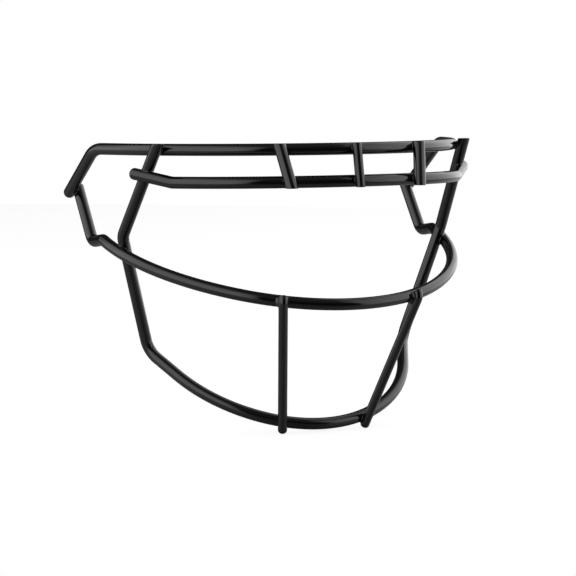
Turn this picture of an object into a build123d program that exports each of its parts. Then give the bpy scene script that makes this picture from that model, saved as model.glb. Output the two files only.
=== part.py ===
from build123d import *
from math import acos, asin, cos, pi, radians, sin, sqrt, tan
import os

# A welded wire face guard for a sport helmet. Lengths are millimetres and angles are degrees.
# The origin is on the centreline of the upper brow wire, at its foremost point.
# +Z is up, the guard's front faces -Y, and left and right are those of the front view.

# Wire stock, measured over its black coat
wire_diameter = 7.0
slim_wire_diameter = 5.5

# Welds: how deep two crossing wires are pressed into each other, and the fused nugget between
# them, which covers what they share and stands out past their lands by a small lip
weld_set_down = 0.6
jaw_mouth_set_down = 2.2
rod_set_down = 1.8
bar_set_down = 1.0
nugget_cover = 0.1
nugget_lip = 0.3

# Upper brow wire: a flat bow, and two arms that run back and down to the helmet's sides
brow_front_radius = 104.0
brow_front_turn = 39.4
brow_side_radius = 132.5
brow_side_turn = 74.1
brow_side_run = 23.4
brow_tilt = -1.2
brow_corner_radius = 23.0
arm_end_half_spread = 116.8
arm_end_back = 155.7
arm_end_drop = 32.0

# Lower brow wire: a flatter bow under the upper one, with its tips turned back past the jaw loop
lower_brow_drop = 18.3
lower_brow_lead = 3.8
lower_brow_radius = 128.0
lower_brow_turn = 45.6
lower_brow_run = 5.4
lower_brow_tilt = -1.4
lower_brow_corner_radius = 8.7
lower_brow_tip_overhang = 8.1

# Mouth wire: a bow that rises towards the ears, then a short jog and a rod up to each arm
mouth_drop = 89.2
mouth_lead = 2.3
mouth_front_radius = 100.0
mouth_front_turn = 36.9
mouth_side_radius = 127.2
mouth_side_turn = 86.4
mouth_side_run = 4.2
mouth_tilt = 16.0
mouth_corner_radius = 4.2
jog_end_half_spread = 111.4
jog_end_back = 127.7
jog_end_drop = 58.9
jog_bend_radius = 8.2
rod_weld_from_arm_end = 5.5
rod_top_overhang = 2.6

# Jaw loop: a chin bow that slopes up to the jaw, then an upright on each side with one kink
chin_drop = 164.0
chin_set_back = 37.3
chin_front_radius = 75.0
chin_front_turn = 25.4
chin_side_radius = 87.2
chin_side_turn = 67.3
chin_side_run = 26.8
chin_tilt = 31.4
jaw_bend_radius = 12.3
jaw_kink_radius = 10.0
jaw_kink_above_weld = 7.8
jaw_weld_brow_share = 0.56
jaw_weld_mouth_share = 0.854
lower_brow_weld_below_upper = 13.8

# Brow struts: three short wires outside both brow wires
strut_top_half_spacing = 41.8
strut_bottom_half_spacing = 39.6

# Front bars: two slim wires outside the mouth wire and the chin bow
bar_top_half_spacing = 40.9
bar_bottom_half_spacing = 25.7
bar_wrap_turn = 58.0
bar_tip_run = 0.6
bar_foot_overhang = 4.5

# Wire ends
rod_end_radius = 2.7
bar_end_radius = 2.0
trim_overrun = 6.0

# How often a seated wire's place and direction are worked out from each other
seating_rounds = 8

inward = Vector(-1, 0, 0)
outward = Vector(1, 0, 0)
forward = Vector(0, -1, 0)

wire_radius = wire_diameter / 2
slim_wire_radius = slim_wire_diameter / 2
main_spacing = wire_diameter - weld_set_down
jaw_mouth_spacing = wire_diameter - jaw_mouth_set_down
rod_spacing = wire_diameter - rod_set_down
slim_spacing = wire_radius + slim_wire_radius - weld_set_down
bar_spacing = wire_radius + slim_wire_radius - bar_set_down


class Bow:
    """A wire bent flat, mirrored about X = 0: a front arc, a side arc and a straight run."""

    def __init__(self, front, tilt, front_radius, front_turn, side_radius, side_turn, run):
        self.front = front
        self.front_radius = front_radius
        self.front_turn = radians(front_turn)
        self.side_radius = side_radius
        self.side_turn = radians(side_turn)
        self.run = run
        self.back_way = Vector(0, cos(radians(tilt)), sin(radians(tilt)))

    def at(self, turn):
        """The centreline point where the wire has turned by this angle, in radians."""
        first = min(turn, self.front_turn)
        across = self.front_radius * sin(first)
        back = self.front_radius * (1 - cos(first))
        if turn > first:
            across += self.side_radius * (sin(turn) - sin(first))
            back += self.side_radius * (cos(first) - cos(turn))
        return self.front + Vector(across, 0, 0) + self.back_way * back

    def heading(self, turn):
        """The wire's direction at that point, away from the middle."""
        return Vector(cos(turn), 0, 0) + self.back_way * sin(turn)

    def turn_at(self, across):
        """How far the front arc has turned at this distance from the middle."""
        return asin(across / self.front_radius)

    def side_share(self, share):
        """The turn at this share of the side arc."""
        return self.front_turn + (self.side_turn - self.front_turn) * share

    def corner(self):
        """Where the straight run would meet the next run if the bend were sharp."""
        return self.at(self.side_turn) + self.heading(self.side_turn) * self.run

    def arcs(self):
        """The arcs of the +X half, from the middle outwards."""
        pieces = []
        for start, end in ((0, self.front_turn), (self.front_turn, self.side_turn)):
            if end > start:
                middle = (start + end) / 2
                pieces.append(ThreePointArc(self.at(start), self.at(middle), self.at(end)))
        return pieces


def bend(corner, back, ahead, radius):
    """A tangent arc of this radius in place of a sharp corner."""
    turn = pi - acos(back.dot(ahead))
    reach = radius * tan(turn / 2)
    set_back = radius / cos(turn / 2) - radius
    start = corner + back * reach
    middle = corner + (back + ahead).normalized() * set_back
    end = corner + ahead * reach
    return start, ThreePointArc(start, middle, end), end


def bent_run(points, radii):
    """Straight runs through the points, with a bend of its own radius at each corner."""
    pieces = []
    start = points[0]
    for before, corner, after, radius in zip(points, points[1:], points[2:], radii):
        back = (before - corner).normalized()
        ahead = (after - corner).normalized()
        bend_start, curve, bend_end = bend(corner, back, ahead, radius)
        pieces.append(Line(start, bend_start))
        pieces.append(curve)
        start = bend_end
    pieces.append(Line(start, points[-1]))
    return pieces


def rod(pieces, radius):
    """A round wire of this radius along the pieces, in their order."""
    path = Wire(pieces)
    section = Plane(origin=path @ 0, z_dir=path % 0) * Circle(radius)
    return sweep(section, path=path)


def mirrored_rod(half, radius):
    """A round wire along a half path that starts at X = 0 and its mirror image."""
    other = [piece.mirror(Plane.YZ) for piece in half]
    return rod(other + half, radius)


def seat(host_point, host_way, guest_from, side, spacing):
    """Where a straight wire passes the host wire when it seats on that side of it."""
    point = host_point
    for _ in range(seating_rounds):
        normal = host_way.cross(point - guest_from).normalized()
        if normal.dot(side) < 0:
            normal = normal * -1
        point = host_point + normal * spacing
    return point


def seat_both(first_point, first_way, second_point, second_way, spacing):
    """Where a straight wire passes two host wires when it seats on the front of both."""
    first = first_point
    second = second_point
    for _ in range(seating_rounds):
        first = seat(first_point, first_way, second, forward, spacing)
        second = seat(second_point, second_way, first, forward, spacing)
    return first, second


def ends_rounded(wire, radius, keep=None):
    """Round the rim of each flat end, or of the ends that keep() picks."""
    ends = wire.faces().filter_by(GeomType.PLANE)
    if keep:
        ends = ends.filter_by(keep)
    return fillet(ends.edges(), radius)


def trimmed(wire, face_point, face_way):
    """Cut a wire off flat, and keep the side that the face looks away from."""
    return split(wire, bisect_by=Plane(origin=face_point, z_dir=face_way), keep=Keep.BOTTOM)


def land_half_width(radius, set_down):
    """Half the width of the flat that the nugget would leave on a wire of this radius."""
    height = radius - set_down - nugget_cover
    return sqrt(radius**2 - height**2)


def nugget(host_point, host_way, guest_point, guest_way, guest_radius, set_down=weld_set_down):
    """The fused metal between two crossing wires, a lip wider than the lands on both."""
    host_way = host_way.normalized()
    slant = abs(host_way.dot(guest_way.normalized()))
    host_half = land_half_width(wire_radius, set_down) + nugget_lip
    guest_half = land_half_width(guest_radius, set_down) + nugget_lip
    half_length = (guest_half + host_half * slant) / sqrt(1 - slant**2)
    normal = (guest_point - host_point).normalized()
    middle = host_point + normal * (wire_radius - set_down / 2)
    lie = Plane(origin=middle, x_dir=host_way, z_dir=normal)
    return lie * Box(half_length * 2, host_half * 2, set_down + nugget_cover * 2)


# Upper brow wire
upper = Bow(
    Vector(0, 0, 0),
    brow_tilt,
    brow_front_radius,
    brow_front_turn,
    brow_side_radius,
    brow_side_turn,
    brow_side_run,
)
arm_end = Vector(arm_end_half_spread, arm_end_back, -arm_end_drop)
arm_way = (arm_end - upper.corner()).normalized()
upper_side = bent_run([upper.at(upper.side_turn), upper.corner(), arm_end], [brow_corner_radius])
upper_brow_wire = mirrored_rod(upper.arcs() + upper_side, wire_radius)
upper_brow_wire = ends_rounded(upper_brow_wire, rod_end_radius)

# Mouth wire, with its rods seated on the inner side of the arms
mouth = Bow(
    Vector(0, -mouth_lead, -mouth_drop),
    mouth_tilt,
    mouth_front_radius,
    mouth_front_turn,
    mouth_side_radius,
    mouth_side_turn,
    mouth_side_run,
)
jog_end = Vector(jog_end_half_spread, jog_end_back, -jog_end_drop)
arm_weld = arm_end - arm_way * rod_weld_from_arm_end
rod_weld = seat(arm_weld, arm_way, jog_end, inward, rod_spacing)
rod_way = (rod_weld - jog_end).normalized()
rod_top = rod_weld + rod_way * rod_top_overhang
mouth_side = bent_run(
    [mouth.at(mouth.side_turn), mouth.corner(), jog_end, rod_top],
    [mouth_corner_radius, jog_bend_radius],
)
mouth_wire = mirrored_rod(mouth.arcs() + mouth_side, wire_radius)

# Jaw loop, seated inside the mouth wire and outside the upper brow wire
chin = Bow(
    Vector(0, chin_set_back, -chin_drop),
    chin_tilt,
    chin_front_radius,
    chin_front_turn,
    chin_side_radius,
    chin_side_turn,
    chin_side_run,
)
mouth_jaw_turn = mouth.side_share(jaw_weld_mouth_share)
mouth_jaw_weld = mouth.at(mouth_jaw_turn)
jaw_mouth_weld = seat(
    mouth_jaw_weld,
    mouth.heading(mouth_jaw_turn),
    chin.corner(),
    inward,
    jaw_mouth_spacing,
)
lower_way = (jaw_mouth_weld - chin.corner()).normalized()
jaw_kink = jaw_mouth_weld + lower_way * jaw_kink_above_weld
brow_jaw_turn = upper.side_share(jaw_weld_brow_share)
brow_jaw_weld = upper.at(brow_jaw_turn)
jaw_brow_weld = seat(
    brow_jaw_weld,
    upper.heading(brow_jaw_turn),
    jaw_kink,
    outward,
    main_spacing,
)
upright_way = (jaw_brow_weld - jaw_kink).normalized()
jaw_side = bent_run(
    [
        chin.at(chin.side_turn),
        chin.corner(),
        jaw_kink,
        jaw_brow_weld + upright_way * (wire_diameter + trim_overrun),
    ],
    [jaw_bend_radius, jaw_kink_radius],
)
brow_up = upper.back_way.rotate(Axis.X, 90)
brow_top = upper.front + brow_up * wire_radius
jaw_loop_wire = mirrored_rod(chin.arcs() + jaw_side, wire_radius)
jaw_loop_wire = trimmed(jaw_loop_wire, brow_top, brow_up)

# Lower brow wire, its tips seated outside the jaw loop
lower = Bow(
    Vector(0, -lower_brow_lead, -lower_brow_drop),
    lower_brow_tilt,
    lower_brow_radius,
    lower_brow_turn,
    lower_brow_radius,
    lower_brow_turn,
    lower_brow_run,
)
upright_weld = jaw_brow_weld - upright_way * lower_brow_weld_below_upper
tip_weld = seat(
    upright_weld,
    upright_way,
    lower.corner(),
    outward,
    main_spacing,
)
tip_way = (tip_weld - lower.corner()).normalized()
lower_side = bent_run(
    [
        lower.at(lower.side_turn),
        lower.corner(),
        tip_weld + tip_way * lower_brow_tip_overhang,
    ],
    [lower_brow_corner_radius],
)
lower_brow_wire = mirrored_rod(lower.arcs() + lower_side, wire_radius)
lower_brow_wire = ends_rounded(lower_brow_wire, rod_end_radius)
lower_up = lower.back_way.rotate(Axis.X, 90)
lower_bottom = lower.front - lower_up * wire_radius


def strut(upper_point, upper_heading, lower_point, lower_heading, spacing, radius):
    """A strut seated on the outside of both brow wires, cut flush with them above and below."""
    top, bottom = seat_both(upper_point, upper_heading, lower_point, lower_heading, spacing)
    over = (top - bottom).normalized() * (wire_diameter + trim_overrun)
    body = rod([Line(bottom - over, top + over)], radius)
    body = trimmed(body, brow_top, brow_up)
    body = trimmed(body, lower_bottom, lower_up * -1)
    return body, top, bottom


def front_bar(mouth_point, mouth_heading, chin_point, chin_heading):
    """A slim bar on the front of the chin bow and the mouth wire, its top wrapped over that."""
    top, foot = seat_both(mouth_point, mouth_heading, chin_point, chin_heading, bar_spacing)
    rise = (top - foot).normalized()
    out = (top - mouth_point).normalized()
    wrap = radians(bar_wrap_turn)
    over = rise * cos(wrap) - out * sin(wrap)
    corner = top + rise * (bar_spacing * tan(wrap / 2))
    tip = corner + over * (bar_spacing * tan(wrap / 2) + bar_tip_run)
    run = bent_run([foot - rise * bar_foot_overhang, corner, tip], [bar_spacing])
    body = rod(run, slim_wire_radius)
    body = ends_rounded(body, bar_end_radius, lambda face: face.center().Z < foot.Z)
    return body, top, foot


# Brow struts: the centre one is slim wire
strut_top_turn = upper.turn_at(strut_top_half_spacing)
strut_bottom_turn = lower.turn_at(strut_bottom_half_spacing)
side_strut, strut_top_weld, strut_bottom_weld = strut(
    upper.at(strut_top_turn),
    upper.heading(strut_top_turn),
    lower.at(strut_bottom_turn),
    lower.heading(strut_bottom_turn),
    main_spacing,
    wire_radius,
)
centre_strut, centre_top_weld, centre_bottom_weld = strut(
    upper.at(0),
    upper.heading(0),
    lower.at(0),
    lower.heading(0),
    slim_spacing,
    slim_wire_radius,
)

# Front bars
bar_top_turn = mouth.turn_at(bar_top_half_spacing)
bar_foot_turn = chin.turn_at(bar_bottom_half_spacing)
side_bar, bar_top_weld, bar_foot_weld = front_bar(
    mouth.at(bar_top_turn),
    mouth.heading(bar_top_turn),
    chin.at(bar_foot_turn),
    chin.heading(bar_foot_turn),
)

nodes = {
    "upper_brow_wire": upper_brow_wire,
    "jaw_loop_wire": jaw_loop_wire,
    "mouth_wire": mouth_wire,
    "lower_brow_wire": lower_brow_wire,
    "brow_strut_right": side_strut,
    "brow_strut_left": side_strut.mirror(Plane.YZ),
    "brow_strut_centre": centre_strut,
    "front_bar_right": side_bar,
    "front_bar_left": side_bar.mirror(Plane.YZ),
}


def weld(name, host, guest, piece):
    """Let a nugget into the guest wire and fit them both to the host wire's round."""
    nodes[guest] = nodes[guest] - piece - nodes[host]
    nodes[name] = piece - nodes[host]


# The welds of the +X half: name, host wire, guest wire and nugget
side_welds = [
    (
        "weld_upper_brow_jaw",
        "upper_brow_wire",
        "jaw_loop_wire",
        nugget(brow_jaw_weld, upper.heading(brow_jaw_turn), jaw_brow_weld, upright_way, wire_radius),
    ),
    (
        "weld_upper_brow_rod",
        "upper_brow_wire",
        "mouth_wire",
        nugget(arm_weld, arm_way, rod_weld, rod_way, wire_radius, rod_set_down),
    ),
    (
        "weld_jaw_mouth",
        "jaw_loop_wire",
        "mouth_wire",
        nugget(
            jaw_mouth_weld,
            lower_way,
            mouth_jaw_weld,
            mouth.heading(mouth_jaw_turn),
            wire_radius,
            jaw_mouth_set_down,
        ),
    ),
    (
        "weld_jaw_lower_brow",
        "jaw_loop_wire",
        "lower_brow_wire",
        nugget(upright_weld, upright_way, tip_weld, tip_way, wire_radius),
    ),
    (
        "weld_upper_brow_strut",
        "upper_brow_wire",
        "brow_strut",
        nugget(
            upper.at(strut_top_turn),
            upper.heading(strut_top_turn),
            strut_top_weld,
            strut_top_weld - strut_bottom_weld,
            wire_radius,
        ),
    ),
    (
        "weld_lower_brow_strut",
        "lower_brow_wire",
        "brow_strut",
        nugget(
            lower.at(strut_bottom_turn),
            lower.heading(strut_bottom_turn),
            strut_bottom_weld,
            strut_top_weld - strut_bottom_weld,
            wire_radius,
        ),
    ),
    (
        "weld_mouth_bar",
        "mouth_wire",
        "front_bar",
        nugget(
            mouth.at(bar_top_turn),
            mouth.heading(bar_top_turn),
            bar_top_weld,
            bar_top_weld - bar_foot_weld,
            slim_wire_radius,
            bar_set_down,
        ),
    ),
    (
        "weld_chin_bar",
        "jaw_loop_wire",
        "front_bar",
        nugget(
            chin.at(bar_foot_turn),
            chin.heading(bar_foot_turn),
            bar_foot_weld,
            bar_top_weld - bar_foot_weld,
            slim_wire_radius,
            bar_set_down,
        ),
    ),
]
for name, host, guest, piece in side_welds:
    guest_right = guest if guest in nodes else f"{guest}_right"
    guest_left = guest if guest in nodes else f"{guest}_left"
    weld(f"{name}_right", host, guest_right, piece)
    weld(f"{name}_left", host, guest_left, piece.mirror(Plane.YZ))

# The centre strut's welds
centre_way = centre_top_weld - centre_bottom_weld
for name, host, bow, guest_point in (
    ("weld_upper_brow_strut_centre", "upper_brow_wire", upper, centre_top_weld),
    ("weld_lower_brow_strut_centre", "lower_brow_wire", lower, centre_bottom_weld),
):
    piece = nugget(bow.at(0), bow.heading(0), guest_point, centre_way, slim_wire_radius)
    weld(name, host, "brow_strut_centre", piece)

os.makedirs("parts", exist_ok=True)
for name, shape in nodes.items():
    solids = shape.solids()
    body = solids[0] if len(solids) == 1 else Compound(children=solids)
    body.label = name
    export_step(body, f"parts/{name}.step")
    print(f"{name}: {len(solids)} solid(s), {sum(s.volume for s in solids):.1f} mm3")
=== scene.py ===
# %% [markdown]
# # A welded wire face guard, dressed in black
# The real guard is nine steel wires, bent, welded where they cross, and dipped in a glossy black
# coat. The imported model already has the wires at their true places, with plain lands and nuggets
# where they cross. This lesson bends the same wires again as smooth surfaces, pours the small
# fillet that the coat leaves round every weld, and lights the coat so that its gloss reads.
# Right is +X all through, as in the photograph.

# %% Load the frame
from math import asin, atan2, cos, degrees, pi, radians, sin, sqrt, tan

import bmesh
import bpy
from mathutils import Matrix, Vector


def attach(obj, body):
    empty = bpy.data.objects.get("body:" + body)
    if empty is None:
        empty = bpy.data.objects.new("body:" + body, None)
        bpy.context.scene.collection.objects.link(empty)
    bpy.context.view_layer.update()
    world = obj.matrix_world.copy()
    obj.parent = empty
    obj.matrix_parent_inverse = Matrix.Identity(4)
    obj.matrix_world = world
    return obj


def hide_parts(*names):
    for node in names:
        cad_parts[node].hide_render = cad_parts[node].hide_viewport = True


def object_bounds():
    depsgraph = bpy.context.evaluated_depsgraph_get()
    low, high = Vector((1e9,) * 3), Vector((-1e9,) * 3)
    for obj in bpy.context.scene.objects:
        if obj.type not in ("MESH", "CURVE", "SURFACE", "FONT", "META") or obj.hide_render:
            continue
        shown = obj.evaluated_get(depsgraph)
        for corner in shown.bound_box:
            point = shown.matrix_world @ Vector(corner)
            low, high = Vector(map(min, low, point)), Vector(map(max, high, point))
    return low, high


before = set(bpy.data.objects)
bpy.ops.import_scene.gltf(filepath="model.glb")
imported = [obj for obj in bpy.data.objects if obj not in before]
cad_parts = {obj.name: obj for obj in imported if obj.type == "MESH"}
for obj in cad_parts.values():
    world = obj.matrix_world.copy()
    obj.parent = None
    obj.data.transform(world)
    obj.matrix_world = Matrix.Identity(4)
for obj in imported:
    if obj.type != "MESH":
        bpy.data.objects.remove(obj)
cad_box = [list(corner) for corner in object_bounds()]
scene = bpy.context.scene
scene.view_settings.view_transform = "Standard"

# %% [markdown]
# ## The wire
# Wire is measured over its coat. The heavy wire is 7 mm and the slim wire 5.5 mm. Every length
# below is a millimetre of the real guard, and MM turns it into Blender's metres at the last step.
# A tube with 48 sides stays round in a close view, and its bends get one ring for every few
# degrees, because a reflection shows a coarse bend before the outline does. A straight run can
# do with a third of the rings.

# %% Wire sizes
MM = 0.001
HEAVY = 3.5
SLIM = 2.75
SIDES = 48
RING_ANGLE = radians(4)
RING_STEP = 3.0
RUN_STEP = 9.0
ACROSS = Vector((1, 0, 0))
print("wires", 2 * HEAVY, "and", 2 * SLIM, "mm across, with", SIDES, "sides")

# %% [markdown]
# A wire bender works with two moves: it feeds the wire straight on, and it turns it about a round
# pin. bmesh has both. An extrusion of the last ring, moved ahead, is the feed, and Spin about the
# pin is the turn. A wire made this way is an even tube by itself, where a curve with a bevel would
# need its handles set by eye.

# %% The wire bender
class Wire:
    """A tube that grows from its last ring, in millimetres."""

    def __init__(self, start, way, radius):
        self.mesh = bmesh.new()
        self.at = Vector(start)
        self.way = Vector(way).normalized()
        turn = self.way.to_track_quat("Z", "Y").to_matrix().to_4x4()
        bmesh.ops.create_circle(
            self.mesh,
            cap_ends=False,
            segments=SIDES,
            radius=radius,
            matrix=Matrix.Translation(self.at) @ turn,
        )
        self.last = self.mesh.edges[:]

    def feed(self, length):
        """Pushes the wire straight on, in steps short enough for even shading."""
        steps = max(1, round(length / RUN_STEP))
        for _ in range(steps):
            grown = bmesh.ops.extrude_edge_only(self.mesh, edges=self.last)["geom"]
            verts = [part for part in grown if isinstance(part, bmesh.types.BMVert)]
            ring = set(verts)
            self.last = [
                part
                for part in grown
                if isinstance(part, bmesh.types.BMEdge) and all(v in ring for v in part.verts)
            ]
            bmesh.ops.translate(self.mesh, verts=verts, vec=self.way * (length / steps))
        self.at = self.at + self.way * length

    def turn(self, toward, radius, angle):
        """Turns the wire about a pin on the side that toward points to."""
        side = Vector(toward)
        side = (side - self.way * side.dot(self.way)).normalized()
        pin = self.at + side * radius
        axis = self.way.cross(side)
        steps = max(2, round(angle / RING_ANGLE), round(radius * angle / RING_STEP))
        verts = list(dict.fromkeys(vert for edge in self.last for vert in edge.verts))
        spun = bmesh.ops.spin(
            self.mesh,
            geom=verts + self.last,
            cent=pin,
            axis=axis,
            angle=angle,
            steps=steps,
            use_merge=False,
            use_duplicate=False,
        )["geom_last"]
        self.last = [part for part in spun if isinstance(part, bmesh.types.BMEdge)]
        turned = Matrix.Rotation(angle, 3, axis)
        self.at = pin + turned @ (self.at - pin)
        self.way = turned @ self.way

    def run_to(self, corner, beyond, radius):
        """Feeds up to a corner and bends round it towards the point beyond."""
        ahead = (beyond - corner).normalized()
        angle = self.way.angle(ahead)
        self.feed((corner - self.at).length - radius * tan(angle / 2))
        self.turn(ahead, radius, angle)


print("a bend gets a ring for every", round(degrees(RING_ANGLE)), "degrees")

# %% [markdown]
# A wire ends in one of two ways. A domed end has its rim bevelled by most of the wire's radius. A
# sawn end is cut by a plane, closed with one face, and gets the small edge that the coat rounds.
# A Boolean with a box would saw the wire as well, but a plane leaves a clean rim to bevel.

# %% Ends
CUT_SNAP = 1e-5
FLAT_END_ROUND = 2.7
SLIM_END_ROUND = 2.0
ROUND_SEGMENTS_PER_MM = 3
SAWN_EDGE = 0.45
SAWN_SEGMENTS = 4


def cut_off(mesh, point, way):
    """Cuts a mesh at a plane, drops what lies beyond it, and gives the edges of the open rim."""
    cut = bmesh.ops.bisect_plane(
        mesh,
        geom=mesh.verts[:] + mesh.edges[:] + mesh.faces[:],
        dist=CUT_SNAP,
        plane_co=point,
        plane_no=way,
        clear_outer=True,
    )["geom_cut"]
    return [part for part in cut if isinstance(part, bmesh.types.BMEdge)]


def close_and_round(mesh, rim, rounding, segments):
    """Closes a rim with one face and rounds its edge."""
    bmesh.ops.contextual_create(mesh, geom=rim)
    bmesh.ops.bevel(
        mesh,
        geom=rim,
        offset=rounding,
        offset_type="OFFSET",
        segments=segments,
        profile=0.5,
        affect="EDGES",
        material=-1,
    )


def domed(wire, rounding):
    """Closes the last ring of a wire as a dome."""
    segments = max(2, round(rounding * ROUND_SEGMENTS_PER_MM))
    close_and_round(wire.mesh, wire.last, rounding, segments)


def sawn(wire, point, way):
    """Saws a wire off at a plane and keeps the side behind it."""
    close_and_round(wire.mesh, cut_off(wire.mesh, point, way), SAWN_EDGE, SAWN_SEGMENTS)


print("domed ends are rounded by", FLAT_END_ROUND, "mm, sawn edges by", SAWN_EDGE, "mm")

# %% [markdown]
# The guard is the same on both sides, so a wire that crosses the middle is bent as one half and
# mirrored about its open ring, and a piece that stands on one side is made once and copied over.
# A finished piece is scaled to metres in its mesh, which leaves its object unturned at the origin,
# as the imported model's are. Its doubles are merged before its normals are recalculated, because
# a mirror turns a shape inside out and a seam that isn't merged would count as an edge.

# %% Finished pieces
TOUCHING = 1e-4
pieces = []


def finish_piece(mesh, name, node, finish):
    """Turns a bmesh in millimetres into an object that rides on the guard's one body."""
    bmesh.ops.remove_doubles(mesh, verts=mesh.verts[:], dist=TOUCHING)
    bmesh.ops.recalc_face_normals(mesh, faces=mesh.faces[:])
    bmesh.ops.scale(mesh, vec=Vector((MM, MM, MM)), verts=mesh.verts[:])
    for face in mesh.faces:
        face.smooth = True
    data = bpy.data.meshes.new(name)
    mesh.to_mesh(data)
    mesh.free()
    data.materials.append(finish)
    piece = bpy.data.objects.new(name, data)
    scene.collection.objects.link(piece)
    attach(piece, "root")
    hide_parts(node)
    pieces.append(piece)
    return piece


def on_the_left(mesh):
    """Carries a mesh of the right side over to the left, and gives it back."""
    bmesh.ops.scale(mesh, vec=Vector((-1, 1, 1)), verts=mesh.verts[:])
    return mesh


def finish_pair(mesh, name, node, finish):
    """Finishes a piece of the right side and its twin on the left."""
    twin = on_the_left(mesh.copy())
    finish_piece(mesh, name + "_right", node + "_right", finish)
    finish_piece(twin, name + "_left", node + "_left", finish)


# %% [markdown]
# ## The coat
# The coat is a baked-on black paint: very dark, glossy, with the faint orange peel of a dipped
# finish. One shader could do both wires and welds, but the coat lies over rougher metal in the
# welds and dries a little duller there, so those get their own. The peel is a Noise bump on Object
# coordinates, because every piece's object sits at the origin and the pattern then runs on across
# the welds.

# %% Coat shader
COAT_BLACK = 0.001
COAT_IOR = 1.5
CLOUDS_PER_METRE = 55
CLOUD_DETAIL = 3
CLOUD_LOW, CLOUD_HIGH = 0.3, 0.7
GLOSS_SPREAD = 0.15
GRAINS_PER_METRE = 650
GRAIN_DETAIL = 1
GRAIN_HEIGHT = 0.0002


def black_coat(name, roughness, peel):
    """Glossy black paint with orange peel and slightly uneven gloss."""
    material = bpy.data.materials.new(name)
    material.use_nodes = True
    nodes = material.node_tree.nodes
    links = material.node_tree.links
    shader = nodes["Principled BSDF"]
    shader.inputs["Base Color"].default_value = (COAT_BLACK, COAT_BLACK, COAT_BLACK, 1)
    shader.inputs["IOR"].default_value = COAT_IOR
    place = nodes.new("ShaderNodeTexCoord")
    # uneven gloss, over about two centimetres
    cloud = nodes.new("ShaderNodeTexNoise")
    cloud.inputs["Scale"].default_value = CLOUDS_PER_METRE
    cloud.inputs["Detail"].default_value = CLOUD_DETAIL
    gloss = nodes.new("ShaderNodeMapRange")
    gloss.inputs["From Min"].default_value = CLOUD_LOW
    gloss.inputs["From Max"].default_value = CLOUD_HIGH
    gloss.inputs["To Min"].default_value = roughness * (1 - GLOSS_SPREAD)
    gloss.inputs["To Max"].default_value = roughness * (1 + GLOSS_SPREAD)
    links.new(place.outputs["Object"], cloud.inputs["Vector"])
    links.new(cloud.outputs["Fac"], gloss.inputs["Value"])
    links.new(gloss.outputs["Result"], shader.inputs["Roughness"])
    # orange peel, about a millimetre and a half across
    grain = nodes.new("ShaderNodeTexNoise")
    grain.inputs["Scale"].default_value = GRAINS_PER_METRE
    grain.inputs["Detail"].default_value = GRAIN_DETAIL
    bump = nodes.new("ShaderNodeBump")
    bump.inputs["Strength"].default_value = peel
    bump.inputs["Distance"].default_value = GRAIN_HEIGHT
    links.new(place.outputs["Object"], grain.inputs["Vector"])
    links.new(grain.outputs["Fac"], bump.inputs["Height"])
    links.new(bump.outputs["Normal"], shader.inputs["Normal"])
    return material


wire_coat = black_coat("wire_coat_gloss", roughness=0.11, peel=0.012)
joint_coat = black_coat("joint_coat_gloss", roughness=0.2, peel=0.01)
print("coats:", wire_coat.name, joint_coat.name)

# %% [markdown]
# ## The bows
# Four wires run from one side of the guard to the other, and each is flat over the face: a front
# arc, a tighter or wider side arc, and a short straight run. Only half of each is bent, from the
# centre plane outwards, and Mirror makes the other half. The plane of a bow leans back by its
# tilt, so the pin lies behind the wire in that plane. The plan of a bow is kept, because the welds
# later ask it where the wire runs.

# %% Bow
class Bow:
    """The plan of one bow, given in millimetres and in degrees of turn from the middle."""

    def __init__(self, front, tilt, front_radius, front_turn, side_radius, side_turn):
        self.front = Vector(front)
        self.back = Vector((0, cos(radians(tilt)), sin(radians(tilt))))
        self.up = Vector((0, -sin(radians(tilt)), cos(radians(tilt))))
        self.front_radius = front_radius
        self.front_turn = radians(front_turn)
        self.side_radius = side_radius
        self.side_turn = radians(side_turn)

    def spoke(self, turn):
        """The direction from the pin to the wire, at a turn in radians."""
        return ACROSS * sin(turn) - self.back * cos(turn)

    def bend(self):
        """A half wire bent as far as the end of its side arc."""
        wire = Wire(self.front, ACROSS, HEAVY)
        wire.turn(self.back, self.front_radius, self.front_turn)
        inside = -self.spoke(self.front_turn)
        wire.turn(inside, self.side_radius, self.side_turn - self.front_turn)
        return wire


def finish_bow(wire, name, node):
    """Mirrors a half wire about its open ring at the centre plane and finishes the whole."""
    bmesh.ops.mirror(
        wire.mesh,
        geom=wire.mesh.verts[:] + wire.mesh.edges[:] + wire.mesh.faces[:],
        matrix=Matrix.Identity(4),
        merge_dist=TOUCHING,
        axis="X",
    )
    piece = finish_piece(wire.mesh, name, node, wire_coat)
    print(piece.name, len(piece.data.polygons), "faces")


print("a half bow leaves the centre plane along", tuple(ACROSS))

# %% [markdown]
# The upper brow wire is a nearly level bow over the brow, whose arms bend down and run back to
# their round ends. It is bent first, because struts and uprights are sawn off flush with its top,
# and that plane is kept for them.

# %% Upper brow wire
UPPER_CORNER = Vector((115.752, 112.203, -2.35))
ARM_END = Vector((116.8, 155.7, -32.0))
ARM_BEND = 23.0
upper_bow = Bow(
    front=(0, 0, 0),
    tilt=-1.2,
    front_radius=104.0,
    front_turn=39.4,
    side_radius=132.5,
    side_turn=74.1,
)
upper = upper_bow.bend()
upper.run_to(UPPER_CORNER, ARM_END, ARM_BEND)
upper.feed((ARM_END - upper.at).length)
domed(upper, FLAT_END_ROUND)
finish_bow(upper, "upper_brow_bar", "upper_brow_wire")
brow_saw = (upper_bow.up * HEAVY, upper_bow.up)

# %% [markdown]
# The lower brow wire is one flat bow whose tips turn back sharply past the uprights. Its bend is
# tight, so Spin puts its rings there by angle and not by length.

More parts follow.
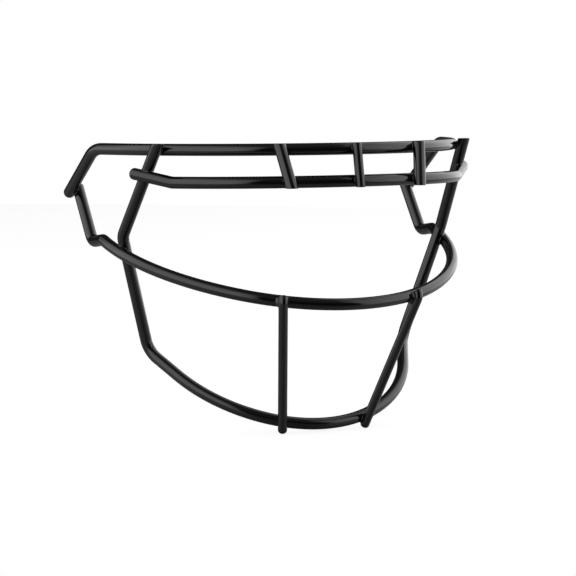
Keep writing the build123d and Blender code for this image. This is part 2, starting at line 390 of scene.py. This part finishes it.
# %% Lower brow wire
LOWER_CORNER = Vector((92.562, 46.363, -19.719))
LOWER_TIP = Vector((109.5, 68.7, -14.84))
LOWER_BEND = 8.7
lower_bow = Bow(
    front=(0, -3.8, -18.3),
    tilt=-1.62,
    front_radius=128.0,
    front_turn=20.0,
    side_radius=89.5,
    side_turn=59.0,
)
lower = lower_bow.bend()
lower.run_to(LOWER_CORNER, LOWER_TIP, LOWER_BEND)
lower.feed((LOWER_TIP - lower.at).length)
domed(lower, FLAT_END_ROUND)
finish_bow(lower, "lower_brow_bar", "lower_brow_wire")

# %% [markdown]
# The mouth wire bows further, jogs down behind the uprights and ends in a rod that rises to each
# arm. The rod is fed a little too long and then sawn, as at a bench, which gives a true flat end.

# %% Mouth wire
MOUTH_CORNER = Vector((110.881, 111.087, -56.687))
JOG_END = Vector((111.4, 127.7, -58.9))
ROD_TOP = Vector((111.498, 152.852, -26.913))
JOG_BEND = 4.2
ROD_BEND = 8.2
ROD_SPARE = 2
mouth_bow = Bow(
    front=(0, -2.3, -89.2),
    tilt=16.0,
    front_radius=100.0,
    front_turn=36.9,
    side_radius=127.2,
    side_turn=86.4,
)
mouth = mouth_bow.bend()
mouth.run_to(MOUTH_CORNER, JOG_END, JOG_BEND)
mouth.run_to(JOG_END, ROD_TOP, ROD_BEND)
mouth.feed((ROD_TOP - mouth.at).length + ROD_SPARE)
sawn(mouth, ROD_TOP, mouth.way)
finish_bow(mouth, "mouth_bar", "mouth_wire")

# %% [markdown]
# The jaw loop starts as the chin bow, turns up at the jaw, kinks inwards at the mouth wire and is
# sawn off flush with the top of the upper brow wire. The saw's plane isn't square to the upright,
# so the tube again runs past the plane before it is cut.

# %% Jaw loop
CHIN_CORNER = Vector((85.555, 103.103, -123.833))
JAW_KINK = Vector((106.214, 90.996, -53.419))
JAW_AT_BROW = Vector((100.535, 54.222, -2.954))
CHIN_BEND = 12.3
KINK_BEND = 10.0
UPRIGHT_SPARE = 13
chin_bow = Bow(
    front=(0, 37.3, -164.0),
    tilt=31.4,
    front_radius=75.0,
    front_turn=25.4,
    side_radius=87.2,
    side_turn=67.3,
)
jaw = chin_bow.bend()
jaw.run_to(CHIN_CORNER, JAW_KINK, CHIN_BEND)
jaw.run_to(JAW_KINK, JAW_AT_BROW, KINK_BEND)
jaw.feed((JAW_AT_BROW - jaw.at).length + UPRIGHT_SPARE)
sawn(jaw, *brow_saw)
finish_bow(jaw, "jaw_loop_bar", "jaw_loop_wire")

# %% [markdown]
# ## The struts and front bars
# Three struts stand on the outside of both brow wires and are sawn flush above and below, the
# middle one of slim wire. A strut is straight, so it is one feed between two cuts, and the cuts
# are the same two planes for all three. The lower one leans 1.4 degrees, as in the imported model.

# %% Brow struts
FOOT_TILT = radians(-1.4)
STRUT_TOP = Vector((44.299, 3.108, 1.453))
STRUT_FOOT = Vector((41.513, -3.361, -16.663))
CENTRE_TOP = Vector((0, -5.532, 1.149))
CENTRE_FOOT = Vector((0, -9.332, -17.151))
STRUT_SPARE = 13
foot_up = Vector((0, -sin(FOOT_TILT), cos(FOOT_TILT)))
foot_saw = (lower_bow.front - foot_up * HEAVY, -foot_up)


def strut(top, foot, radius):
    """A straight wire through the two weld points, sawn flush with both brow wires."""
    rise = (top - foot).normalized()
    wire = Wire(foot - rise * STRUT_SPARE, rise, radius)
    wire.feed((top - foot).length + 2 * STRUT_SPARE)
    sawn(wire, *brow_saw)
    sawn(wire, *foot_saw)
    return wire.mesh


side_strut = strut(STRUT_TOP, STRUT_FOOT, HEAVY)
finish_pair(side_strut, "brow_post", "brow_strut", wire_coat)
centre_strut = strut(CENTRE_TOP, CENTRE_FOOT, SLIM)
finish_piece(centre_strut, "brow_post_centre", "brow_strut_centre", wire_coat)
print("struts:", [piece.name for piece in pieces[-3:]])

# %% [markdown]
# Two slim bars stand on the mouth wire and the chin, with a domed foot and a top bent over the
# mouth wire. The foot needs its dome and the top needs its bend, so the bar starts a little above
# the foot: it is fed down to the dome first, and then grows up from the same open ring.

# %% Front bars
BAR_FOOT = Vector((26.668, 38.73, -168.029))
BAR_CORNER = Vector((43.574, 0.625, -86.385))
BAR_TIP = Vector((42.675, 2.323, -83.186))
BAR_BEND = 5.25
BAR_WRAP = radians(58)
BAR_PAST_WRAP = 0.3
BAR_SPARE = 2
FOOT_RUN = 6
bar_rise = (BAR_CORNER - BAR_FOOT).normalized()
foot_ring = BAR_FOOT + bar_rise * FOOT_RUN
bar = Wire(foot_ring, -bar_rise, SLIM)
bar.feed(FOOT_RUN)
domed(bar, SLIM_END_ROUND)
bar.at = foot_ring
bar.way = bar_rise
bar.last = [edge for edge in bar.mesh.edges if edge.is_boundary]
to_bend = BAR_BEND * tan(bar_rise.angle(BAR_TIP - BAR_CORNER) / 2)
bar.feed((BAR_CORNER - bar.at).length - to_bend)
bar.turn(BAR_TIP - BAR_CORNER, BAR_BEND, BAR_WRAP)
wrap_way = bar.way.copy()
wrap_end = bar.at + wrap_way * BAR_PAST_WRAP
bar.feed(BAR_SPARE)
sawn(bar, wrap_end, wrap_way)
finish_pair(bar.mesh, "face_bar", "front_bar", wire_coat)
print("front bars:", [piece.name for piece in pieces[-2:]])

# %% [markdown]
# ## The weld fillets
# Where two wires cross, the weld and the coat that pools over it leave a small concave fillet all
# the way round. A Boolean union has no clean edge to bevel there, because two round wires meet in
# a curve with no flat side. So the next steps roll a ball round each crossing, as a finger smooths
# filler: the ball keeps its own radius off both wires, and the arc of the ball between its two
# touching points is the fillet. First they need a ruler: how far a point is from a wire's skin.

# %% Distance to a wire
NO_END = -1e3
SKIN_NUDGE = 1e-3


class Stretch:
    """The wire near a weld: straight, or curved about a pin, then maybe a hook and an end."""

    def __init__(self, at, way, radius, pin=None, end=None, rounding=0.0, hook=None):
        self.at = Vector(at)
        self.way = Vector(way).normalized()
        self.radius = radius
        self.pin = pin
        self.end = end
        self.rounding = rounding
        self.hook = hook

    def off_line(self, point, at, way):
        """How far the point is from a straight centreline, and how far along it."""
        along = (point - at).dot(way)
        return (point - at - way * along).length, along

    def off_arc(self, point, pin):
        """How far the point is from a curved centreline, and the angle round the pin."""
        spoke = (self.at - pin).normalized()
        from_pin = point - pin
        across = from_pin.dot(spoke)
        ahead = from_pin.dot(self.way)
        out = (from_pin - spoke * across - self.way * ahead).length
        reach = sqrt(across * across + ahead * ahead)
        return sqrt((reach - (self.at - pin).length) ** 2 + out * out), atan2(ahead, across)

    def gap(self, point):
        """Distance from the wire's skin, less than zero inside the wire."""
        if self.pin is not None:
            return self.off_arc(point, self.pin)[0] - self.radius
        away, along = self.off_line(point, self.at, self.way)
        past = along - self.end if self.end is not None else NO_END
        if self.hook is not None and along > 0:
            away, angle = self.off_arc(point, self.hook["pin"])
            past = (point - self.hook["tip"]).dot(self.hook["over"])
            if angle > self.hook["turn"] or angle < 0:
                away = self.off_line(point, self.hook["tip"], self.hook["over"])[0]
        side = away - self.radius + self.rounding
        past += self.rounding
        outside = sqrt(max(side, 0) ** 2 + max(past, 0) ** 2)
        return min(max(side, past), 0) + outside - self.rounding

    def out(self, point):
        """The direction straight away from the wire's skin."""
        here = self.gap(point)
        return Vector(
            [self.gap(point + Vector(unit) * SKIN_NUDGE) - here for unit in Matrix.Identity(3)]
        ).normalized()


trial = Stretch((0, 0, 0), ACROSS, HEAVY)
print("ruler:", round(trial.gap(Vector((0, 5, 0))), 3), "mm off a wire that is 5 mm away")

# %% [markdown]
# Round each crossing, on a ray from its middle, one place lets the ball touch both wires. There is
# no formula for it, because the wires curve and end, so Newton's method finds it: two unknowns,
# how far out and how high, and two distances that have to come to the ball's radius.

# %% Rolling the ball
TRIES = 20
TOUCH = 1e-5
BALL_NUDGE = 1e-4
PARALLEL = 1e-6
LONGEST_MOVE = 0.6


def ball_centre(host, guest, origin, ray, normal, ball, guess):
    """How far out and how high the ball's centre lies on this ray, and by how much it misses."""
    out, high = guess
    for _ in range(TRIES):
        centre = origin + ray * out + normal * high
        host_miss = host.gap(centre) - ball
        guest_miss = guest.gap(centre) - ball
        if max(abs(host_miss), abs(guest_miss)) < TOUCH:
            break
        further, higher = centre + ray * BALL_NUDGE, centre + normal * BALL_NUDGE
        host_out = (host.gap(further) - ball - host_miss) / BALL_NUDGE
        host_high = (host.gap(higher) - ball - host_miss) / BALL_NUDGE
        guest_out = (guest.gap(further) - ball - guest_miss) / BALL_NUDGE
        guest_high = (guest.gap(higher) - ball - guest_miss) / BALL_NUDGE
        whole = host_out * guest_high - host_high * guest_out
        if abs(whole) < PARALLEL:
            break
        move_out = (host_miss * guest_high - guest_miss * host_high) / whole
        move_high = (host_out * guest_miss - guest_out * host_miss) / whole
        out -= max(-LONGEST_MOVE, min(LONGEST_MOVE, move_out))
        high -= max(-LONGEST_MOVE, min(LONGEST_MOVE, move_high))
    return out, high, max(abs(host_miss), abs(guest_miss))


print("the ball is placed to within", TOUCH, "mm, in", TRIES, "tries at most")

# %% [markdown]
# The fillet's section is a thin crescent: the arc of the ball that shows, and the same arc a little
# larger, sunk in both wires, which closes the ring where nobody sees it. A straight back would cut
# through the arc where the wires meet at a flat angle. A bead that was heaped up by the welder is
# made with a larger ball there, and fuller, nearer to the straight line between its two edges.

# %% Fillet section
ARC_STEPS = 10
BACK_STEPS = 4
SUNK = 0.4


def fillet_section(host, guest, centre, ball, full):
    """The crescent at one place, as a closed row of points."""
    first = -host.out(centre)
    last = -guest.out(centre)
    angle = first.angle(last)

    def on_arc(share, reach):
        mix = first * sin((1 - share) * angle) + last * sin(share * angle)
        return centre + mix * (reach / sin(angle))

    points = []
    for step in range(ARC_STEPS + 1):
        share = step / ARC_STEPS
        level = on_arc(0, ball).lerp(on_arc(1, ball), share)
        points.append(on_arc(share, ball).lerp(level, full))
    points += [on_arc(1 - step / BACK_STEPS, ball + SUNK) for step in range(BACK_STEPS + 1)]
    points.append(points[0])
    return points


print("a section has", ARC_STEPS + BACK_STEPS + 2, "points")

# %% [markdown]
# A ring of sections is a grid with its two ends joined, so each fillet starts as a bmesh grid. Its
# points are moved to the sections and its doubles are merged. Where the saw took the wires off
# flush, it takes the fillet off too, and the holes that it leaves are filled.

# %% Fillet ring
AROUND = 96
HEAP_BALL = 1.8


def fillet_ring(host, guest, ball, cuts=(), heap=None):
    """A ring of fillet round the crossing of two wires, fuller on the side heap points to."""
    origin = (host.at + guest.at) / 2
    normal = (guest.at - host.at).normalized()
    spacing = (guest.at - host.at).length
    along = (host.way - normal * host.way.dot(normal)).normalized()
    beside = normal.cross(along)
    high = host.radius + ball - spacing / 2
    reach = guest.radius + ball
    guess = (sqrt(max(reach**2 - (spacing / 2 - high) ** 2, 1)), high)
    sections = []
    worst = 0.0
    for turn in range(AROUND):
        angle = 2 * pi * turn / AROUND
        ray = along * cos(angle) + beside * sin(angle)
        full = max(0, ray.dot(heap)) ** 2 if heap else 0
        here = ball + HEAP_BALL * full
        out, high, miss = ball_centre(host, guest, origin, ray, normal, here, guess)
        guess = (out, high)
        worst = max(worst, miss)
        centre = origin + ray * out + normal * high
        sections.append(fillet_section(host, guest, centre, here, full))
    sections.append(sections[0])
    mesh = bmesh.new()
    rows = len(sections[0])
    bmesh.ops.create_grid(mesh, x_segments=AROUND, y_segments=rows - 1, size=1)
    for vert in mesh.verts:
        column = round((vert.co.x + 1) / 2 * AROUND)
        row = round((vert.co.y + 1) / 2 * (rows - 1))
        vert.co = sections[column][row]
    bmesh.ops.remove_doubles(mesh, verts=mesh.verts[:], dist=TOUCHING)
    for point, way in cuts:
        bmesh.ops.holes_fill(mesh, edges=cut_off(mesh, point, way), sides=0)
    return mesh, worst


print("a fillet has", AROUND, "sections round its crossing")

# %% [markdown]
# The ruler has to know the wires where they are welded. A bow is asked for its stretch at a turn
# from the middle: a given angle where an upright crosses it, or the angle whose sine is the
# crossing's distance from the centre plane, as a share of the front arc's radius.

# %% Bows at the welds
JAW_TURN_AT_BROW = radians(58.832)
JAW_TURN_AT_MOUTH = radians(79.173)
STRUT_OUT_ABOVE = 41.8
STRUT_OUT_BELOW = 39.6
BAR_OUT_ABOVE = 40.9
BAR_OUT_BELOW = 25.7


def bow_at(bow, turn):
    """The stretch of a bow's heavy wire at a turn in radians."""
    way = ACROSS * cos(turn) + bow.back * sin(turn)
    pin = bow.front + bow.back * bow.front_radius
    radius = bow.front_radius
    if turn > bow.front_turn:
        pin = pin + bow.spoke(bow.front_turn) * (bow.front_radius - bow.side_radius)
        radius = bow.side_radius
    return Stretch(pin + bow.spoke(turn) * radius, way, HEAVY, pin=pin)


upper_at_jaw = bow_at(upper_bow, JAW_TURN_AT_BROW)
mouth_at_jaw = bow_at(mouth_bow, JAW_TURN_AT_MOUTH)
upper_at_strut = bow_at(upper_bow, asin(STRUT_OUT_ABOVE / upper_bow.front_radius))
lower_at_strut = bow_at(lower_bow, asin(STRUT_OUT_BELOW / lower_bow.front_radius))
mouth_at_bar = bow_at(mouth_bow, asin(BAR_OUT_ABOVE / mouth_bow.front_radius))
chin_at_bar = bow_at(chin_bow, asin(BAR_OUT_BELOW / chin_bow.front_radius))
print("jaw loop meets the brow at", [round(value, 1) for value in upper_at_jaw.at])

# %% [markdown]
# The other wires are straight where they are welded. Some end close by, and their round ends count
# too, because the ball rolls over them. A front bar's top hooks over the mouth wire before it ends.

# %% Straight runs at the welds
JAW_AT_MOUTH = Vector((104.047, 92.265, -60.804))
JAW_AT_TIP = Vector((101.945, 63.345, -15.474))
TIP_AT_JAW = Vector((104.256, 61.784, -16.351))
ARM_AT_ROD = Vector((116.69, 151.156, -28.903))
ROD_AT_ARM = Vector((111.492, 151.245, -28.957))
BAR_AT_MOUTH = Vector((42.996, 1.927, -89.174))
BAR_AT_CHIN = Vector((27.498, 36.859, -164.021))
jaw_rise = JAW_AT_BROW - JAW_KINK
post_rise = STRUT_TOP - STRUT_FOOT
centre_rise = CENTRE_TOP - CENTRE_FOOT
tip_run = (LOWER_TIP - TIP_AT_JAW).length
arm_run = (ARM_END - ARM_AT_ROD).length
foot_run = (BAR_FOOT - BAR_AT_CHIN).length
bar_hook = {"pin": mouth_at_bar.at, "turn": BAR_WRAP, "tip": wrap_end, "over": wrap_way}

upright = Stretch(JAW_AT_BROW, jaw_rise, HEAVY)
upright_at_tip = Stretch(JAW_AT_TIP, jaw_rise, HEAVY)
jaw_below_kink = Stretch(JAW_AT_MOUTH, JAW_KINK - CHIN_CORNER, HEAVY)
tip = Stretch(TIP_AT_JAW, LOWER_TIP - LOWER_CORNER, HEAVY, end=tip_run, rounding=FLAT_END_ROUND)
arm = Stretch(ARM_AT_ROD, ARM_END - UPPER_CORNER, HEAVY, end=arm_run, rounding=FLAT_END_ROUND)
rod = Stretch(ROD_AT_ARM, ROD_TOP - JOG_END, HEAVY)
post = Stretch(STRUT_TOP, post_rise, HEAVY)
post_foot = Stretch(STRUT_FOOT, post_rise, HEAVY)
centre_post = Stretch(CENTRE_TOP, centre_rise, SLIM)
centre_post_foot = Stretch(CENTRE_FOOT, centre_rise, SLIM)
bar_top = Stretch(BAR_AT_MOUTH, bar_rise, SLIM, hook=bar_hook)
bar_foot = Stretch(BAR_AT_CHIN, -bar_rise, SLIM, end=foot_run, rounding=SLIM_END_ROUND)
print("arm runs on past its rod by", round(arm_run, 1), "mm")

# %% [markdown]
# Now the ball rolls. Each row is a place, its host wire and its guest, the ball, and the saws that
# took the wires off flush there. The coat lies so thin in these welds that half a millimetre of
# ball is enough: a larger one hid the crossing that the photograph shows.

# %% Side fillets
BALL_HEAVY = 0.5
BALL_SLIM = 0.45
rod_saw = (ROD_TOP, (ROD_TOP - JOG_END).normalized())
side_welds = (
    ("upper_brow_jaw", upper_at_jaw, upright, BALL_HEAVY, [brow_saw]),
    ("upper_brow_rod", arm, rod, BALL_HEAVY, [rod_saw]),
    ("jaw_mouth", jaw_below_kink, mouth_at_jaw, BALL_HEAVY, []),
    ("jaw_lower_brow", upright_at_tip, tip, BALL_HEAVY, []),
    ("upper_brow_strut", upper_at_strut, post, BALL_HEAVY, [brow_saw]),
    ("lower_brow_strut", lower_at_strut, post_foot, BALL_HEAVY, [foot_saw]),
    ("chin_bar", chin_at_bar, bar_foot, BALL_SLIM, []),
)
for place, host, guest, ball, cuts in side_welds:
    ring, miss = fillet_ring(host, guest, ball, cuts)
    finish_pair(ring, f"fillet_{place}", f"weld_{place}", joint_coat)
    print("fillet", place, "ball is off by at most", round(miss, 5), "mm")

# %% [markdown]
# In the photograph each bead of a front bar on the mouth wire looks fuller on its -X side. So they
# aren't each other's mirror image: the left one is made on the right, heaped the other way, and
# carried over.

# %% Mouth wire's beads
right_bead, miss = fillet_ring(mouth_at_bar, bar_top, BALL_SLIM, heap=-ACROSS)
finish_piece(
    right_bead, "fillet_mouth_bar_right", "weld_mouth_bar_right", joint_coat
)
print("right bead: ball is off by at most", round(miss, 5), "mm")
left_bead, miss = fillet_ring(mouth_at_bar, bar_top, BALL_SLIM, heap=ACROSS)
on_the_left(left_bead)
finish_piece(left_bead, "fillet_mouth_bar_left", "weld_mouth_bar_left", joint_coat)
print("left bead: ball is off by at most", round(miss, 5), "mm")

# %% [markdown]
# The slim strut in the middle has no twin. Its two fillets stand on the centre plane, so each is
# its own mirror image, and one ring round the whole crossing is simpler than two halves.

# %% Centre fillets
centre_welds = (
    ("upper_brow_strut_centre", bow_at(upper_bow, 0), centre_post, [brow_saw]),
    ("lower_brow_strut_centre", bow_at(lower_bow, 0), centre_post_foot, [foot_saw]),
)
for place, host, guest, cuts in centre_welds:
    ring, miss = fillet_ring(host, guest, BALL_SLIM, cuts)
    finish_piece(ring, f"fillet_{place}", f"weld_{place}", joint_coat)
    print("fillet", place, "ball is off by at most", round(miss, 5), "mm")

# %% [markdown]
# ## Camera
# The photograph was taken with a long lens from in front and to the left, a little above the brow.
# The camera stands where that view was measured to be, 1.4 m away, and has the photograph's very
# small roll. Its directions are worked out from the turn and the drop of the view, which is easier
# to match to a photograph than a target point.

# %% Camera
VIEW_TURN = -0.43209
VIEW_DROP = 0.09868
VIEW_ROLL = -0.00075
LENS = 155.74
SENSOR = 36
FAR_CLIP = 50
CAMERA_AT = Vector((-0.630914, -1.279438, 0.060994))
look = Vector((-sin(VIEW_TURN) * cos(VIEW_DROP), cos(VIEW_TURN) * cos(VIEW_DROP), -sin(VIEW_DROP)))
level = Vector((cos(VIEW_TURN), sin(VIEW_TURN), 0))
across = (level + level.cross(look) * VIEW_ROLL).normalized()
above = across.cross(look)
camera_data = bpy.data.cameras.new("camera")
camera_data.lens = LENS
camera_data.sensor_width = SENSOR
camera_data.clip_end = FAR_CLIP
camera = bpy.data.objects.new("camera", camera_data)
camera.matrix_world = Matrix.Translation(CAMERA_AT) @ Matrix(
    (across, above, -look)
).transposed().to_4x4()
scene.collection.objects.link(camera)
scene.camera = camera
print("camera at", [round(value, 3) for value in CAMERA_AT])

# %% [markdown]
# ## Floor and light
# The photograph has a white background, and yet the coat mirrors a dark room. A white room would
# wash the black out, so Light Path turns the world and the floor white for the camera, and for a
# ray through glass, of which the guard has none. A reflection gets a small share of that white, no
# more than the darkest reflections in the photograph allow.

# %% White for the camera
GLOSS_SHARE = 0.05


def white_share(nodes, links):
    """One for a ray from the camera or through glass, and a small share for a reflection."""
    path = nodes.new("ShaderNodeLightPath")
    seen = nodes.new("ShaderNodeMath")
    seen.operation = "MAXIMUM"
    links.new(path.outputs["Is Camera Ray"], seen.inputs[0])
    links.new(path.outputs["Is Transmission Ray"], seen.inputs[1])
    gloss = nodes.new("ShaderNodeMath")
    gloss.operation = "MULTIPLY"
    gloss.inputs[1].default_value = GLOSS_SHARE
    links.new(path.outputs["Is Glossy Ray"], gloss.inputs[0])
    share = nodes.new("ShaderNodeMath")
    share.operation = "MAXIMUM"
    links.new(seen.outputs[0], share.inputs[0])
    links.new(gloss.outputs[0], share.inputs[1])
    return share.outputs[0]


print("share of white in a reflection:", GLOSS_SHARE)

# %% [markdown]
# The guard stands on its two front bars near the front edge of a round table, whose height is the
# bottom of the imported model's box. An endless plane would be simpler, but it would show in the
# front of every wire, where the photograph is dark.

# %% Floor
FLOOR_RADIUS = 1.2
FLOOR_MIDDLE = 1.0
FLOOR_SIDES = 64
floor_level = cad_box[0][2]
floor_mesh = bmesh.new()
bmesh.ops.create_circle(
    floor_mesh,
    cap_ends=True,
    segments=FLOOR_SIDES,
    radius=FLOOR_RADIUS,
    matrix=Matrix.Translation((0, FLOOR_MIDDLE, floor_level)),
)
floor_data = bpy.data.meshes.new("floor")
floor_mesh.to_mesh(floor_data)
floor_mesh.free()
floor = bpy.data.objects.new("floor", floor_data)
scene.collection.objects.link(floor)
print("floor at", round(floor_level, 4))

# %% [markdown]
# The table is satin. Satin mirrors the side panels at a low angle, so the undersides of the wires
# are bright at the sides and dark in front, as in the photograph, where a dull table would light
# them evenly. For the camera it is lifted nearly to white by an Emission that is added to the
# paint, and the paint's own shading carries the guard's faint shadow.

# %% Floor paint
FLOOR_GREY = 0.28
FLOOR_ROUGHNESS = 0.3
FLOOR_IOR = 2.2
CAMERA_LIFT = 0.86
floor_paint = bpy.data.materials.new("floor_paint")
floor_paint.use_nodes = True
nodes = floor_paint.node_tree.nodes
links = floor_paint.node_tree.links
paint = nodes["Principled BSDF"]
paint.inputs["Base Color"].default_value = (FLOOR_GREY, FLOOR_GREY, FLOOR_GREY, 1)
paint.inputs["Roughness"].default_value = FLOOR_ROUGHNESS
paint.inputs["IOR"].default_value = FLOOR_IOR
glow = nodes.new("ShaderNodeEmission")
lift = nodes.new("ShaderNodeMath")
lift.operation = "MULTIPLY"
lift.inputs[1].default_value = CAMERA_LIFT
both = nodes.new("ShaderNodeAddShader")
links.new(white_share(nodes, links), lift.inputs[0])
links.new(lift.outputs[0], glow.inputs["Strength"])
links.new(paint.outputs[0], both.inputs[0])
links.new(glow.outputs[0], both.inputs[1])
links.new(both.outputs[0], nodes["Material Output"].inputs["Surface"])
floor_data.materials.append(floor_paint)
print("floor paint:", floor_paint.name, "with a lift of", CAMERA_LIFT)

# %% [markdown]
# The room itself is nearly dark at the sides and has a soft ceiling light that leans forward. The
# world's direction, height less a part of its depth, drives the strength, and a smooth step keeps
# the ceiling's edge from showing as a line in the gloss.

# %% World
CAMERA_WHITE = 1.0
ROOM_SIDE = 0.008
ROOM_TOP = 0.18
ROOM_LEAN = 0.25
CEILING_STARTS = 0.5
CEILING_FULL = 1.05
world = bpy.data.worlds.new("studio")
scene.world = world
world.use_nodes = True
nodes = world.node_tree.nodes
links = world.node_tree.links
room = nodes["Background"]
room.inputs["Color"].default_value = (1, 1, 1, 1)
place = nodes.new("ShaderNodeTexCoord")
split = nodes.new("ShaderNodeSeparateXYZ")
lean = nodes.new("ShaderNodeMath")
lean.operation = "MULTIPLY_ADD"
lean.inputs[1].default_value = -ROOM_LEAN
ceiling = nodes.new("ShaderNodeMapRange")
ceiling.interpolation_type = "SMOOTHSTEP"
ceiling.inputs["From Min"].default_value = CEILING_STARTS
ceiling.inputs["From Max"].default_value = CEILING_FULL
ceiling.inputs["To Min"].default_value = ROOM_SIDE
ceiling.inputs["To Max"].default_value = ROOM_TOP
links.new(place.outputs["Generated"], split.inputs[0])
links.new(split.outputs["Y"], lean.inputs[0])
links.new(split.outputs["Z"], lean.inputs[2])
links.new(lean.outputs[0], ceiling.inputs["Value"])
links.new(ceiling.outputs["Result"], room.inputs["Strength"])
white = nodes.new("ShaderNodeBackground")
white.inputs["Color"].default_value = (1, 1, 1, 1)
white.inputs["Strength"].default_value = CAMERA_WHITE
choose = nodes.new("ShaderNodeMixShader")
links.new(white_share(nodes, links), choose.inputs["Fac"])
links.new(room.outputs[0], choose.inputs[1])
links.new(white.outputs[0], choose.inputs[2])
links.new(choose.outputs[0], nodes["World Output"].inputs["Surface"])
print("room light:", ROOM_SIDE, "at the sides and up to", ROOM_TOP, "overhead")

# %% [markdown]
# The long grey bands on the wires are two big side panels, one on each side, that reach from below
# the table to well above the guard. A real panel is brightest in its middle, so each one is four
# lamps inside one another, whose light adds up. The left one has a fifth, high at its rear, where
# the reflections show more light. Both lean a little, lower at the front.

# %% Side panels
PANEL_AWAY = 1.4
LAYER_GAP = 0.01


def side_panel(name, side, lean, layers):
    """Nested lamps on one side. A layer is its front, back, bottom and top edge and its light."""
    facing = Vector((-side, 0, 0))
    panel_back = Vector((0, cos(radians(lean)), sin(radians(lean))))
    panel_up = Vector((0, -sin(radians(lean)), cos(radians(lean))))
    for count, (front, back, bottom, top, radiance) in enumerate(layers):
        lamp = bpy.data.lights.new(f"{name}_{count}", "AREA")
        lamp.shape = "RECTANGLE"
        lamp.size = back - front
        lamp.size_y = top - bottom
        lamp.energy = radiance * pi * lamp.size * lamp.size_y
        box = bpy.data.objects.new(f"{name}_{count}", lamp)
        middle = panel_back * ((front + back) / 2) + panel_up * ((bottom + top) / 2)
        middle.x = side * (PANEL_AWAY + count * LAYER_GAP)
        right = panel_up.cross(-facing)
        box.matrix_world = Matrix.Translation(middle) @ Matrix(
            (right, panel_up, -facing)
        ).transposed().to_4x4()
        scene.collection.objects.link(box)


side_panel(
    "left_panel",
    side=-1,
    lean=10,
    layers=(
        (-1.75, 2.15, -0.56, 3.3, 0.50),
        (-1.60, 2.00, -0.53, 2.5, 0.50),
        (-1.45, 1.75, -0.48, 1.6, 0.45),
        (-1.20, 1.25, -0.42, 1.2, 0.40),
        (1.90, 3.40, 1.20, 2.9, 0.80),
    ),
)
side_panel(
    "right_panel",
    side=1,
    lean=12,
    layers=(
        (-2.50, 2.15, -0.60, 3.6, 0.50),
        (-2.35, 2.00, -0.58, 2.8, 0.50),
        (-2.10, 1.60, -0.50, 1.9, 0.45),
        (-1.40, 1.10, -0.42, 1.2, 0.40),
    ),
)

# %% [markdown]
# ## Sizes
# The dressed guard has to keep the imported model's size, so the imported model's box is printed.

# %% Sizes
print("cad", cad_box)
